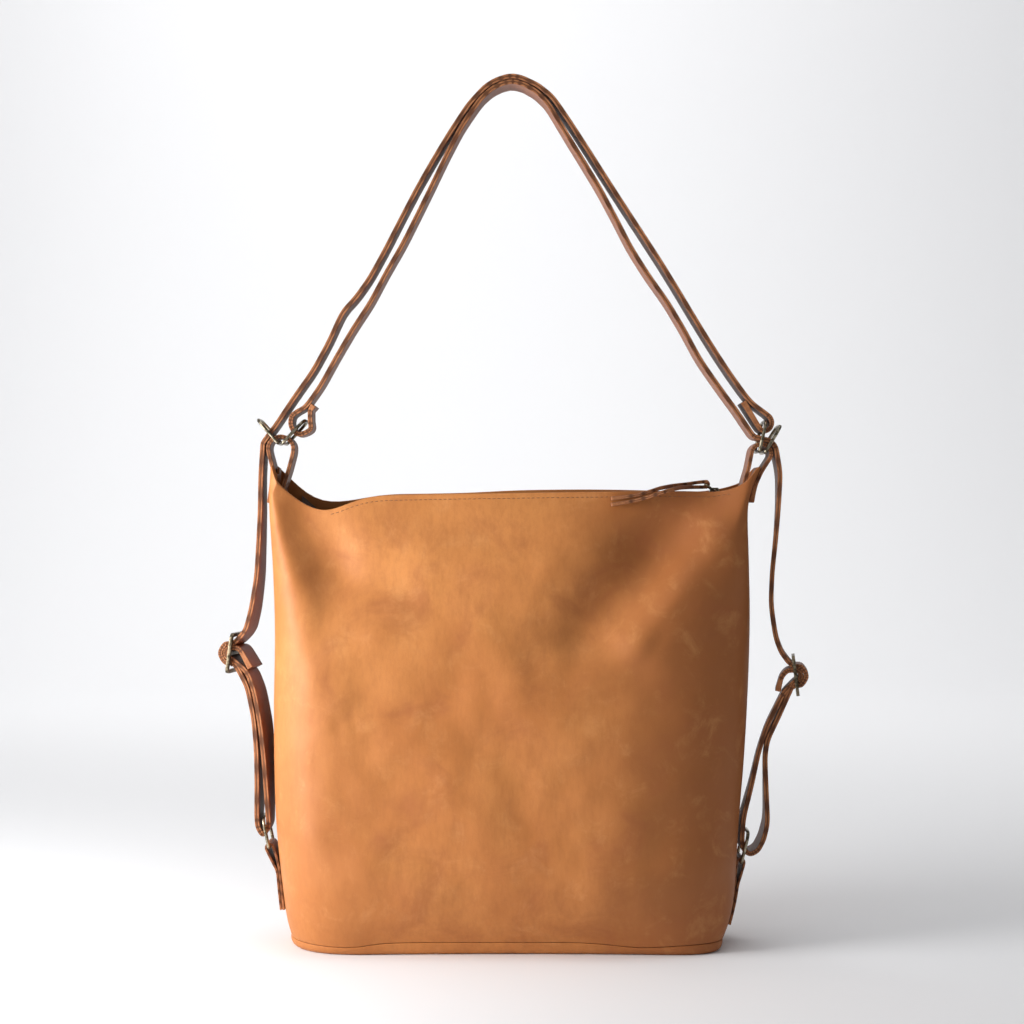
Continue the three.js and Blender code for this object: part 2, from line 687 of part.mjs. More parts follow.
// The doubled stretch from the slider to the lower ring: the outer layer's place, and how far the inner
// layer stands off it beyond touching, as a share of the strap's width.
const doubleLeft = [
  { out: 0.952, down: 0.12, apart: 0.012, yaw: 10 },
  { out: 0.74, down: 0.2025, apart: 0.012, yaw: 11 },
  { out: 0.568, down: 0.351, apart: 0.012, yaw: 12 },
  { out: 0.48, down: 0.488, apart: 0.03, yaw: 12 },
  { out: 0.45, down: 0.653, apart: 0.07, yaw: 10 },
  { out: 0.47, down: 0.826, apart: 0.12, yaw: 6 },
  { out: 0.5, down: 0.95, apart: 0.15, yaw: 3 },
];
const doubleRight = [
  { out: 1.2, down: 0.125, apart: 0.012, yaw: 7.5 },
  { out: 1.0, down: 0.2255, apart: 0.012, yaw: 7.5 },
  { out: 0.7, down: 0.341, apart: 0.012, yaw: 7.5 },
  { out: 0.54, down: 0.437, apart: 0.02, yaw: 7 },
  { out: 0.484, down: 0.572, apart: 0.1, yaw: 6 },
  { out: 0.5, down: 0.682, apart: 0.24, yaw: 5 },
  { out: 0.56, down: 0.855, apart: 0.52, yaw: 3 },
  { out: 0.512, down: 0.971, apart: 0.57, yaw: 1 },
];

// The turn under the bar of the lower ring, in shares of the ring's length: outwards and down.
const turnLeft = [
  { out: 0.145, down: 0.27 },
  { out: 0, down: 0.48 },
  { out: -0.15, down: 0.27 },
];
const turnRight = [
  { out: 0.4, down: 0.29 },
  { out: 0.24, down: 0.53 },
  { out: 0.04, down: 0.61 },
  { out: -0.14, down: 0.46 },
];

// One side of a strap, from the shoulder of its tab down to the cut end of its sewn flap. The flap's
// slack and how far its bend stands off the slider's bar are shares of the strap's width.
const flapSlack = 0.02;
const flapLeaving = { angle: 148, slack: 0.12 };
const flapCrest = { angle: 186, slack: 0.256 };
function lowerStrap(side, arch, slider, ring, hang, double, turn) {
  const out = (share) => side * (halfBody + share * strapWidth);
  const angled = (angle) => (side < 0 ? 180 - angle : angle);
  const hanging = hang.map((row) => ({
    x: out(row.out),
    z: mix(arch.z, slider.z, row.down),
    yaw: row.yaw,
  }));
  const sewnRadius = Math.hypot(sliderBar, sliderPlate) / 2 + touch + strapThickness / 2;
  const runningRadius = sewnRadius + layerStep;
  const running = [105, 60, 0, -60, -105].map((angle) => (
    polar(slider, angled(angle), runningRadius, slider.yaw)));
  const bar = polar(ring, ring.tilt, ringLength - ringWire);
  const outer = double.map((row) => ({
    x: out(row.out),
    z: mix(slider.z, bar.z, row.down),
    yaw: row.yaw,
  }));
  const under = turn.map((row) => ({
    x: bar.x + side * row.out * ringLength,
    z: bar.z - row.down * ringLength,
    yaw: 0,
  }));
  const inner = beside(outer, double.map((row) => -side * (layerStep + row.apart * strapWidth)));
  const flap = beside(outer, double.map((row) => (
    -side * (2 * layerStep + (row.apart + flapSlack) * strapWidth))));
  const sewn = [-90, -45, 0, 45, 90].map((angle) => polar(slider, angled(angle), sewnRadius, slider.yaw));
  const bend = [flapLeaving, flapCrest].map((row) => (
    polar(slider, angled(row.angle), sewnRadius + row.slack * strapWidth, slider.yaw)));
  return [...hanging, ...running, ...outer, ...under, ...inner.reverse(), ...sewn, ...bend, flap[0]];
}

// The arch of the outer strap over the bag: places as shares of the body's half width and of the rise
// from the foot of the arch, over the rings, to its top. Apart is how far the inner strap stands off
// it beyond touching, as a share of the strap's width.
const archRows = [
  { at: -0.92, rise: 0.003, apart: 0.28 },
  { at: -0.831, rise: 0.0946, apart: 0.26 },
  { at: -0.763, rise: 0.1875, apart: 0.25 },
  { at: -0.71, rise: 0.2726, apart: 0.38 },
  { at: -0.64, rise: 0.3268, apart: 0.26 },
  { at: -0.598, rise: 0.3732, apart: 0.18 },
  { at: -0.528, rise: 0.466, apart: 0.22 },
  { at: -0.397, rise: 0.6505, apart: 0.2 },
  { at: -0.246, rise: 0.8362, apart: 0.04 },
  { at: -0.157, rise: 0.9291, apart: 0.012 },
  { at: -0.084, rise: 0.9742, apart: 0.012 },
  { at: 0, rise: 0.9925, apart: 0.012 },
  { at: 0.081, rise: 0.9755, apart: 0.012 },
  { at: 0.17, rise: 0.9291, apart: 0.06 },
  { at: 0.257, rise: 0.8362, apart: 0.12 },
  { at: 0.42, rise: 0.6505, apart: 0.17 },
  { at: 0.585, rise: 0.466, apart: 0.37 },
  { at: 0.66, rise: 0.3809, apart: 0.34 },
  { at: 0.742, rise: 0.2803, apart: 0.26 },
  { at: 0.82, rise: 0.1875, apart: 0.34 },
  { at: 0.901, rise: 0.0946, apart: 0.35 },
  { at: 0.96, rise: 0.0353, apart: 0.3 },
];
const archClosure = { at: 1.008, rise: -0.012 };
const archPoint = (row) => ({
  x: row.at * halfBody,
  z: mix(bodyHeight + archFoot, archHeight, row.rise),
});
const archOuter = archRows.map(archPoint);
const archInner = beside(archOuter, archRows.map((row) => -(layerStep + row.apart * strapWidth)));

// A strap's upper end is turned round the upper bar of a ring and sewn to itself. The loop is loose:
// each row says how far it stands off the bar beyond touching, as a share of the strap's width.
const loopRight = [
  { angle: 110, slack: 0.17 },
  { angle: 40, slack: 0.02 },
  { angle: -20, slack: 0.04 },
  { angle: -64, slack: 0.1 },
  { angle: -95, slack: 0.15 },
  { angle: -130, slack: 0.15 },
  { angle: -170, slack: 0.17 },
];
const loopLeft = [
  { angle: 113, slack: 0.19 },
  { angle: 160, slack: 0.24 },
  { angle: 204, slack: 0.28 },
  { angle: 246, slack: 0.3 },
  { angle: 300, slack: 0.18 },
  { angle: 330, slack: 0.09 },
  { angle: 5, slack: 0.03 },
];

const stubPlaces = [0.02, 0.18];
const stubGap = layerStep + touch;
function sewnLoop(main, bar, rows, side) {
  const radius = ringWire / 2 + touch + strapThickness / 2;
  const round = rows.map((row) => polar(bar, row.angle, radius + row.slack * strapWidth));
  const [last, previous] = [main.at(-1), main.at(-2)];
  const length = Math.hypot(last.x - previous.x, last.z - previous.z);
  const [dx, dz] = [(last.x - previous.x) / length, (last.z - previous.z) / length];
  const stub = stubPlaces.map((back) => ({
    x: last.x - dx * back * strapWidth + side * dz * stubGap,
    z: last.z - dz * back * strapWidth - side * dx * stubGap,
  }));
  return [...round, ...stub];
}

// Each strap passes over the shoulder of its tab, through a ring, and on into the arch.
function shoulder(arch, rows) {
  const radius = arch.radius + tabThickness + touch + strapThickness / 2;
  return rows.map((row) => polar(arch, row.angle, radius + row.slack * strapWidth));
}
const leftShoulder = shoulder(leftArch, [
  { angle: 108, slack: 0.12 },
  { angle: 135, slack: 0.03 },
  { angle: 160, slack: 0.02 },
  { angle: 182, slack: 0.01 },
]);
const rightShoulder = shoulder(rightArch, [
  { angle: 112, slack: 0.12 },
  { angle: 90, slack: 0.03 },
  { angle: 65, slack: 0.02 },
  { angle: 38, slack: 0.02 },
  { angle: 12, slack: 0.02 },
]);

const [, fixedLeft, , fixedRight] = topRings;
const outerToRight = [...archOuter, archPoint(archClosure)];
const strapLeft = [
  ...sewnLoop(outerToRight, fixedRight.upper, loopRight, 1).reverse(),
  ...outerToRight.toReversed(),
  ...leftShoulder,
  ...lowerStrap(-1, leftArch, leftSlider, leftLowerRing, hangLeft, doubleLeft, turnLeft),
];
const innerFromRight = archInner.toReversed();
const strapRight = [
  ...sewnLoop(innerFromRight, fixedLeft.upper, loopLeft, -1).reverse(),
  ...archInner,
  ...rightShoulder,
  ...lowerStrap(1, rightArch, rightSlider, rightLowerRing, hangRight, doubleRight, turnRight),
];
for (const [name, route, ring] of [
  ['strap_left', strapLeft, leftLowerRing],
  ['strap_right', strapRight, rightLowerRing],
]) {
  const stations = stationsAlong(route, ring.x, strapTurn, strapStep);
  add(name, strip(stations, strapWidth, strapThickness), strapLeather);
}

// The top zip: a tape along each leaf, the teeth between them, the slider and its pull.
const zipSteps = 26;
const zipMiddle = (x) => Math.min(topEdge(frontLeaf, x), topEdge(backLeaf, x)) - zipDrop - zipSag;

function faceInside(leaf, x, z) {
  const start = leafPoint(leaf, 2, z, leather).x;
  const end = leafPoint(leaf, 4, z, leather).x;
  return leafPoint(leaf, 2 + 2 * (x - start) / (end - start), z, leather);
}

function alongZip(section) {
  const rings = [];
  for (let i = 0; i <= zipSteps; i += 1) {
    const x = mix(-zipLength / 2, zipLength / 2, i / zipSteps);
    rings.push(section(x));
  }
  return loft(rings);
}

function tape(leaf) {
  return alongZip((x) => {
    const [high, low] = [topEdge(leaf, x) - zipDrop, zipMiddle(x)];
    const edge = faceInside(leaf, x, high).y - leaf.side * 3 * touch;
    const middle = leaf.side * (teethWidth / 2 + touch);
    const at = (y, z) => new THREE.Vector3(x, y, z);
    return [at(edge, high), at(middle, low), at(middle, low - zipTape), at(edge, high - zipTape)];
  });
}

add('zip_tape_front', tape(frontLeaf), zipCloth);
add('zip_tape_back', tape(backLeaf), zipCloth);
add('zip_teeth', alongZip((x) => {
  const [half, top] = [teethWidth / 2, zipMiddle(x) + teethHeight - zipTape];
  return [[-half, 0], [half, 0], [half, -teethHeight], [-half, -teethHeight]]
    .map(([y, z]) => new THREE.Vector3(x, y, top + z));
}), agedBrass);

// The slider is a small block with a hole across it, which the bar of the pull's ring passes through.
const sliderSeat = Math.max(
  zipMiddle(zipSliderPlace - zipSliderLength / 2),
  zipMiddle(zipSliderPlace + zipSliderLength / 2),
) + teethHeight - zipTape + touch;
const holeRadius = pullerWire / 2 + 2 * touch;
const holeWall = 1.2;
const pullerBar = {
  x: zipSliderPlace,
  z: sliderSeat + zipSliderHeight - holeRadius - holeWall,
};
const block = new THREE.Shape();
const [blockHalf, blockTop] = [zipSliderLength / 2, zipSliderHeight];
block.moveTo(-blockHalf, 0);
block.lineTo(blockHalf, 0);
block.lineTo(blockHalf, blockTop * 0.3);
block.lineTo(blockHalf * 0.5, blockTop);
block.lineTo(-blockHalf * 0.5, blockTop);
block.lineTo(-blockHalf, blockTop * 0.3);
block.closePath();
const hole = new THREE.Path();
hole.absarc(0, pullerBar.z - sliderSeat, holeRadius, 0, 2 * Math.PI, true);
block.holes.push(hole);
const blockSolid = new THREE.ExtrudeGeometry(block, {
  depth: zipSliderWidth,
  bevelEnabled: false,
  curveSegments: 8,
});
blockSolid.translate(0, 0, -zipSliderWidth / 2);
blockSolid.rotateX(Math.PI / 2);
blockSolid.translate(zipSliderPlace, 0, sliderSeat);
add('zip_slider_body', blockSolid, agedBrass);

const pullerTilt = 143;
const pullerCorner = 1.6;
const pullerInner = pullTailWidth + sideRoom;
add('zip_puller',
  wireLoop(pullerBar, pullerTilt, pullerLength, pullerInner, pullerWire, pullerCorner), agedBrass);

// The pull's leather is one strip, folded through the ring, whose two tails lie over the front edge.
// Places are shares of the tail's length back from the ring, and of the mouth's depth outwards and up.
const upperTail = [
  { back: 1, out: 0.68, up: -0.27 },
  { back: 0.72, out: 0.67, up: -0.2 },
  { back: 0.53, out: 0.6, up: -0.095 },
  { back: 0.36, out: 0.3, up: -0.03 },
  { back: 0.17, out: 0.07, up: 0.01 },
];
const lowerTail = [
  { back: 0.15, out: 0.1, up: -0.055 },
  { back: 0.31, out: 0.5, up: -0.075 },
  { back: 0.45, out: 0.72, up: -0.14 },
  { back: 0.72, out: 0.69, up: -0.29 },
  { back: 1, out: 0.7, up: -0.38 },
];
const farBar = polar(pullerBar, pullerTilt, pullerLength - pullerWire);
const foldRadius = (pullerWire + pullTailThickness) / 2 + touch;
const tailPoint = (row) => new THREE.Vector3(
  farBar.x - row.back * pullTailLength,
  -row.out * mouthDepth,
  farBar.z + row.up * mouthDepth,
);
const foldPoints = [100, 50, 0, -50, -100].map((angle) => {
  const p = polar(farBar, angle, foldRadius);
  return new THREE.Vector3(p.x, 0, p.z);
});
const tailCurve = new THREE.CatmullRomCurve3(
  [...upperTail.map(tailPoint), ...foldPoints, ...lowerTail.map(tailPoint)], false, 'centripetal');
const tailStations = [];
const tailFine = tailCurve.getPoints(600);
let lastWay = new THREE.Vector3();
tailFine.forEach((place, i) => {
  const way = (tailFine[i + 1] ?? place).clone().sub(i ? tailFine[i - 1] : place).normalize();
  const ends = i === 0 || i === tailFine.length - 1;
  if (ends || way.angleTo(lastWay) > 0.3 || place.distanceTo(tailStations.at(-1).place) > 9) {
    tailStations.push({ place, across: new THREE.Vector3(0, 1, 0) });
    lastWay = way;
  }
});
add('zip_pull_leather', strip(tailStations, pullTailWidth, pullTailThickness), strapLeather);

// The whole stands with the middle of its box over the origin.
const middle = new THREE.Box3().setFromObject(bag).getCenter(new THREE.Vector3());
bag.position.set(-middle.x, -middle.y, 0);

export default bag;
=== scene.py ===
import math

import bpy
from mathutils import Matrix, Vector
from mathutils.bvhtree import BVHTree
from mathutils.geometry import intersect_point_line


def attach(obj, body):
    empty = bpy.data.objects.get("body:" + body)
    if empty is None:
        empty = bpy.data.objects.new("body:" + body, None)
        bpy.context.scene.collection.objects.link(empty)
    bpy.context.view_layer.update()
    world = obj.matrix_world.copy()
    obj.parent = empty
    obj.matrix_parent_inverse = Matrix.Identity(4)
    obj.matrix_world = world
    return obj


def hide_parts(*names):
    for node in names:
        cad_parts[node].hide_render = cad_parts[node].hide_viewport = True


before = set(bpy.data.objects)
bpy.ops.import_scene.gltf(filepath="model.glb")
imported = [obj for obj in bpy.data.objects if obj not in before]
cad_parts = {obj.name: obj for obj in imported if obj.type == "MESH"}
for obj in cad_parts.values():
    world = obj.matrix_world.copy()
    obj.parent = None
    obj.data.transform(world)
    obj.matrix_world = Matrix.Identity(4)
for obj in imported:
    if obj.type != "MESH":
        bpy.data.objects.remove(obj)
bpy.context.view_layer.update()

# The camera stands level in front of the bag, at half the height of bag and straps together,
# as far back as the photograph's perspective asks. The picture is square.
camera_aside = -0.0016
camera_back = 1.4998
camera_height = 0.32
camera_data = bpy.data.cameras.new("camera")
camera_data.lens = 70.7
camera_data.sensor_width = 36
camera = bpy.data.objects.new("camera", camera_data)
camera.location = (camera_aside, -camera_back, camera_height)
camera.rotation_euler = (math.radians(90), 0, 0)
bpy.context.collection.objects.link(camera)
bpy.context.scene.camera = camera


# The studio: a sheet of pale paper that lies under the bag and curves up behind it, a soft lamp
# close by on the left, a broad one high above, one that lights the paper, and a pale surrounding.
class Shade:
    """One socket of a finish. Maths on it adds nodes, and node() adds any other node."""

    def __init__(self, tree, socket=None):
        self.tree = tree
        self.socket = socket

    def node(self, kind, settings=None, values=None, output=0):
        made = self.tree.nodes.new("ShaderNode" + kind)
        for name, setting in (settings or {}).items():
            setattr(made, name, setting)
        for name, value in (values or {}).items():
            self.feed(made.inputs[name], value)
        return Shade(self.tree, made.outputs[output])

    def feed(self, inlet, value):
        if isinstance(value, Shade):
            self.tree.links.new(value.socket, inlet)
        else:
            inlet.default_value = value

    def maths(self, operation, first, second):
        return self.node("Math", {"operation": operation}, {0: first, 1: second})

    def __add__(self, other):
        return self.maths("ADD", self, other)

    def __radd__(self, other):
        return self.maths("ADD", other, self)

    def __rsub__(self, other):
        return self.maths("SUBTRACT", other, self)

    def __mul__(self, other):
        return self.maths("MULTIPLY", self, other)

    def __rmul__(self, other):
        return self.maths("MULTIPLY", other, self)

    def between(self, low, high):
        """A smooth step from 0 to 1, between a low and a high value of this socket."""
        settings = {"interpolation_type": "SMOOTHSTEP", "clamp": True}
        return self.node("MapRange", settings, {"Value": self, "From Min": low, "From Max": high})

    def mixed(self, first, second):
        """A colour between two, with this socket as the second one's share."""
        return self.node("Mix", {"data_type": "RGBA"}, {0: self, 6: first, 7: second}, 2)


def new_finish(name):
    finish = bpy.data.materials.new(name)
    finish.use_nodes = True
    surface = finish.node_tree.nodes["Principled BSDF"]
    return finish, Shade(finish.node_tree), surface


def set_surface(shade, surface, values):
    for name, value in values.items():
        shade.feed(surface.inputs[name], value)


def dress(piece, finish):
    piece.data.materials.clear()
    piece.data.materials.append(finish)


def only(piece):
    bpy.ops.object.select_all(action="DESELECT")
    piece.select_set(True)
    bpy.context.view_layer.objects.active = piece


def round_edges(piece, width, corner=30, segments=2):
    """Rounds every edge that is sharper than a corner, given in degrees."""
    rounding = piece.modifiers.new("edge", "BEVEL")
    rounding.width = width
    rounding.segments = segments
    rounding.limit_method = "ANGLE"
    rounding.angle_limit = math.radians(corner)


def finish_modifiers(piece):
    only(piece)
    for modifier in list(piece.modifiers):
        bpy.ops.object.modifier_apply(modifier=modifier.name)


paper_half = 3
paper_back = 0.6
paper_rise = 4
paper_curve = 1.4
bpy.ops.object.select_all(action="DESELECT")
bpy.ops.mesh.primitive_plane_add(size=2 * paper_half, location=(0, paper_back, 0))
paper = bpy.context.object
paper.name = "paper"
bpy.ops.object.mode_set(mode="EDIT")
bpy.ops.mesh.select_all(action="DESELECT")
bpy.ops.object.mode_set(mode="OBJECT")
for edge in paper.data.edges:
    ends = [paper.data.vertices[end].co.y for end in edge.vertices]
    edge.select = min(ends) > 0.9 * paper_half
bpy.ops.object.mode_set(mode="EDIT")
bpy.ops.mesh.extrude_region_move(TRANSFORM_OT_translate={"value": (0, 0, paper_rise)})
bpy.ops.object.mode_set(mode="OBJECT")
round_edges(paper, paper_curve, segments=24)
finish_modifiers(paper)
bpy.ops.object.shade_smooth()
paper_white, shade, surface = new_finish("paper_white")
place = shade.node("TexCoord", output="Object")
fibre = shade.node("TexNoise", None, {"Vector": place, "Scale": 900.0, "Detail": 2.0})
set_surface(shade, surface, {"Base Color": (0.86, 0.86, 0.87, 1), "Roughness": 0.9 + 0.08 * fibre})
dress(paper, paper_white)

lamp = bpy.data.lights.new("lamp_left", "POINT")
lamp.energy = 49
lamp.shadow_soft_size = 0.25
light = bpy.data.objects.new("light_left", lamp)
light.location = (-0.84, -0.36, 0.36)
bpy.context.collection.objects.link(light)
for name, power, size, where, aim in (
    ("light_top", 90, 3, (0.5, 0, 6), (0.2, 0, 0)),
    ("light_behind", 36, 1.5, (-0.55, 1.5, 2.1), (0.5, 3.4, 0.8)),
):
    lamp = bpy.data.lights.new(name, "AREA")
    lamp.energy = power
    lamp.size = size
    light = bpy.data.objects.new(name, lamp)
    light.location = where
    light.rotation_euler = (Vector(aim) - Vector(where)).to_track_quat("-Z", "Y").to_euler()
    bpy.context.collection.objects.link(light)

sky = bpy.data.worlds.new("studio_air")
sky.use_nodes = True
air = sky.node_tree.nodes["Background"]
air.inputs["Color"].default_value = (0.93, 0.94, 0.96, 1)
air.inputs["Strength"].default_value = 0.28
bpy.context.scene.world = sky
bpy.context.scene.view_settings.view_transform = "Standard"


# The body: two leaves of soft waxed leather and a base with a low strip round it, all of one
# tan hide. The leaves are sewn together inside out down both sides, and to the base's strip.
def add_skin(piece, levels):
    skin = piece.modifiers.new("skin", "SUBSURF")
    skin.levels = levels
    skin.render_levels = levels


def soft_copy(node, name, levels, edge_round, corner=50):
    """A CAD solid's mesh as one skin of quads, with its edges rounded and its faces smoothed."""
    piece = bpy.data.objects.new(name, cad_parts[node].data.copy())
    bpy.context.collection.objects.link(piece)
    only(piece)
    bpy.ops.object.mode_set(mode="EDIT")
    bpy.ops.mesh.select_all(action="SELECT")
    bpy.ops.mesh.remove_doubles(threshold=0.00002)
    bpy.ops.mesh.tris_convert_to_quads(face_threshold=0.9, shape_threshold=3.1)
    bpy.ops.object.mode_set(mode="OBJECT")
    if edge_round:
        round_edges(piece, edge_round, corner)
    if levels:
        add_skin(piece, levels)
    finish_modifiers(piece)
    bpy.ops.object.shade_smooth()
    return piece


# Where the leather is held by a seam or by the hem, and the distance over which it comes free.
base_seam, base_ease = 0.012, 0.05
hem_height, hem_ease = 0.33, 0.06
side_seam, side_ease = 0.172, 0.03
bulge_half = 0.175
bulge_ease = 1.3


def slacken(leaf, out, depth, size):
    """A slight bulge and soft dents of worn leather, none at the seams and the hem."""
    slack = leaf.vertex_groups.new(name="slack")
    crown = leaf.vertex_groups.new(name="crown")
    for vertex in leaf.data.vertices:
        x, _, z = vertex.co
        free = min((z - base_seam) / base_ease, (hem_height - z) / hem_ease,
                   (side_seam - abs(x)) / side_ease, 1)
        if free > 0:
            rise = (1 - (x / bulge_half) ** 2) * min(free * bulge_ease, 1)
            slack.add([vertex.index], free * free * (3 - 2 * free), "REPLACE")
            crown.add([vertex.index], rise, "REPLACE")
    bulge = leaf.modifiers.new("bulge", "DISPLACE")
    bulge.direction = "Y"
    bulge.strength = out
    bulge.mid_level = 0
    bulge.vertex_group = "crown"
    dents = bpy.data.textures.new(leaf.name + "_dents", "CLOUDS")
    dents.noise_scale = size
    push = leaf.modifiers.new("dents", "DISPLACE")
    push.texture = dents
    push.texture_coords = "LOCAL"
    push.direction = "Y"
    push.strength = depth
    push.mid_level = 0.5
    push.vertex_group = "slack"
    finish_modifiers(leaf)


fold_core = 0.004


def fold(leaf, start, end, push, reach):
    """Pushes the leather back (or, below 0, forward) along a slanting line, given in x and z."""
    start, end = (Vector((x, 0, z)) for x, z in (start, end))
    only(leaf)
    bpy.ops.object.mode_set(mode="EDIT")
    bpy.ops.mesh.select_mode(type="VERT")
    bpy.ops.mesh.select_all(action="DESELECT")
    bpy.ops.object.mode_set(mode="OBJECT")
    for vertex in leaf.data.vertices:
        flat = Vector((vertex.co.x, 0, vertex.co.z))
        near, share = intersect_point_line(flat, start, end)
        vertex.select = 0 <= share <= 1 and (flat - near).length < fold_core
    bpy.ops.object.mode_set(mode="EDIT")
    bpy.ops.transform.translate(value=(0, push, 0), use_proportional_edit=True,
                                proportional_edit_falloff="SMOOTH", proportional_size=reach)
    bpy.ops.object.mode_set(mode="OBJECT")


leaf_round = 0.0005
base_round = 0.0004
front_leaf = soft_copy("front_panel", "leaf_front", 2, leaf_round)
back_leaf = soft_copy("back_panel", "leaf_back", 2, leaf_round)
slacken(front_leaf, out=-0.008, depth=0.009, size=0.075)
slacken(back_leaf, out=0.006, depth=0.009, size=0.09)
for start, end, push, reach in (
    ((0.118, 0.3), (0.055, 0.232), 0.004, 0.032),
    ((0.158, 0.29), (0.1, 0.222), -0.004, 0.03),
    ((-0.128, 0.17), (-0.112, 0.168), 0.001, 0.008),
):
    fold(front_leaf, start, end, push, reach)
base = soft_copy("base_panel", "base", 1, base_round)

deep_tan = (0.48, 0.17, 0.045, 1)
light_tan = (0.62, 0.247, 0.07, 1)
# A darker tan for the painted shade towards the side seams, where the leather turns away from the
# lamp.
side_shade_tan = (0.32, 0.105, 0.029, 1)
patch_brown = (0.35, 0.11, 0.036, 1)
scuff_gold = (0.72, 0.34, 0.12, 1)
grain_brown = (0.36, 0.12, 0.034, 1)
body_hide, shade, surface = new_finish("body_hide")
place = shade.node("TexCoord", output="Object")
clouds = shade.node("TexNoise", None, {"Vector": place, "Scale": 7.0, "Detail": 6.0,
                                       "Roughness": 0.6, "Distortion": 0.6})
patches = shade.node("TexNoise", None, {"Vector": place, "Scale": 22.0, "Detail": 7.0,
                                        "Roughness": 0.62, "Distortion": 0.7})
scuffs = shade.node("TexNoise", None, {"Vector": place, "Scale": 46.0, "Detail": 10.0,
                                       "Roughness": 0.68, "Distortion": 0.5})
upright = shade.node("Mapping", None, {"Vector": place, "Scale": (1, 1, 0.3)})
grain = shade.node("TexNoise", None, {"Vector": upright, "Scale": 260.0, "Detail": 4.0,
                                      "Roughness": 0.7})
pores = shade.node("TexVoronoi", None, {"Vector": place, "Scale": 1100.0})
across = shade.node("SeparateXYZ", None, {"Vector": place}, "X")
# Painted shade: the hide is darkened towards both side seams, most on the right, standing in for the
# light falling off away from the lamp on the left.
painted_side_shade = 0.9 * across.between(0.005, 0.14) + 0.35 * (0 - across).between(0.07, 0.155)
tan = clouds.between(0.32, 0.68).mixed(deep_tan, light_tan)
tan = painted_side_shade.mixed(tan, side_shade_tan)
tan = (patches.between(0.48, 0.74) * 0.55).mixed(tan, patch_brown)
tan = (scuffs.between(0.5, 0.75) * 0.3).mixed(tan, scuff_gold)
tan = (grain.between(0.35, 0.75) * 0.3).mixed(tan, grain_brown)
relief = 0.4 * scuffs + 0.3 * grain + 0.3 * pores
bump = shade.node("Bump", None, {"Strength": 0.2, "Distance": 0.0006, "Height": relief})
set_surface(shade, surface, {"Base Color": tan, "Roughness": 0.4 + 0.3 * patches, "Normal": bump,
                             "Specular IOR Level": 0.28})

for piece, node in ((front_leaf, "front_panel"), (back_leaf, "back_panel"), (base, "base_panel")):
    dress(piece, body_hide)
    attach(piece, "root")
    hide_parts(node)


# The hems: along both top edges the leather is stitched 4 mm below its edge in brown
# thread, where the zip's tapes are sewn in behind it. Each stitch is a short thread.
def thread_finish(name, color):
    thread, shade, surface = new_finish(name)
    place = shade.node("TexCoord", output="Object")
    twist = shade.node("TexWave", {"bands_direction": "DIAGONAL"},
                       {"Vector": place, "Scale": 700.0, "Distortion": 2.0})
    bump = shade.node("Bump", None, {"Strength": 0.5, "Distance": 0.0001, "Height": twist})
    dark = [0.6 * part for part in color[:3]] + [1]
    set_surface(shade, surface, {"Base Color": twist.mixed(dark, color), "Roughness": 0.7,
                                 "Normal": bump})
    return thread


hem_start, hem_end = -0.135, 0.162
hem_drop = 0.004
hem_slot = 0.008
stitch_pitch = 0.0036
stitch_share = 0.72
thread_radius = 0.00032


def hem_top(tops, x):
    """The top edge's height at a place, between the highest points of the two slots beside it."""
    place = x / hem_slot
    low = math.floor(place)
    share = place - low
    return tops.get(low, 0) * (1 - share) + tops.get(low + 1, 0) * share


def stitch_row(name, leaf, outside, finish):
    """Stitches on one leaf's outer face, below its top edge. Outside is that face's side in y."""
    skin = BVHTree.FromObject(leaf, bpy.context.evaluated_depsgraph_get())
    tops = {}
    for vertex in leaf.data.vertices:
        slot = round(vertex.co.x / hem_slot)
        tops[slot] = max(tops.get(slot, 0), vertex.co.z)
    inwards = Vector((0, -outside, 0))
    stitches = []
    for step in range(int((hem_end - hem_start) / stitch_pitch)):
        spots = []
        for x in (hem_start + stitch_pitch * step, hem_start + stitch_pitch * (step + stitch_share)):
            spot = Vector((x, outside, hem_top(tops, x) - hem_drop))
            spots.append(skin.ray_cast(spot, inwards)[0])
        if None not in spots:
            stitches.append(spots)
    bpy.ops.object.select_all(action="DESELECT")
    bpy.ops.mesh.primitive_uv_sphere_add(segments=8, ring_count=6, radius=thread_radius)
    one = bpy.context.object
    for first, last in stitches:
        way = last - first
        copy = one.copy()
        copy.data = one.data.copy()
        bpy.context.collection.objects.link(copy)
        copy.rotation_euler = way.normalized().to_track_quat("X", "Z").to_euler()
        copy.scale = (way.length / (2 * thread_radius), 1, 1)
        copy.location = (first + last) / 2
        copy.select_set(True)
        bpy.context.view_layer.objects.active = copy
    row = bpy.context.object
    bpy.data.objects.remove(one)
    bpy.ops.object.transform_apply(location=False, rotation=True, scale=True)
    bpy.ops.object.join()
    bpy.ops.object.transform_apply()
    bpy.ops.object.shade_smooth()
    row.name = name
    dress(row, finish)
    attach(row, "root")


hem_thread = thread_finish("hem_thread", (0.33, 0.14, 0.05, 1))
stitch_row("hem_stitches_front", front_leaf, -1, hem_thread)
stitch_row("hem_stitches_back", back_leaf, 1, hem_thread)


# The straps and tabs: two layers of brown leather sewn back to back and cut to 25 mm.
# Their raw edges are left open and show pale fibres and the joint of the two layers.
edge_facing = 0.7
strap_round = 0.0005


def raw_faces(mesh):
    """The faces of a strip's two raw edges, which look to the front and to the back."""
    return {face.index for face in mesh.polygons if abs(face.normal.y) > edge_facing}


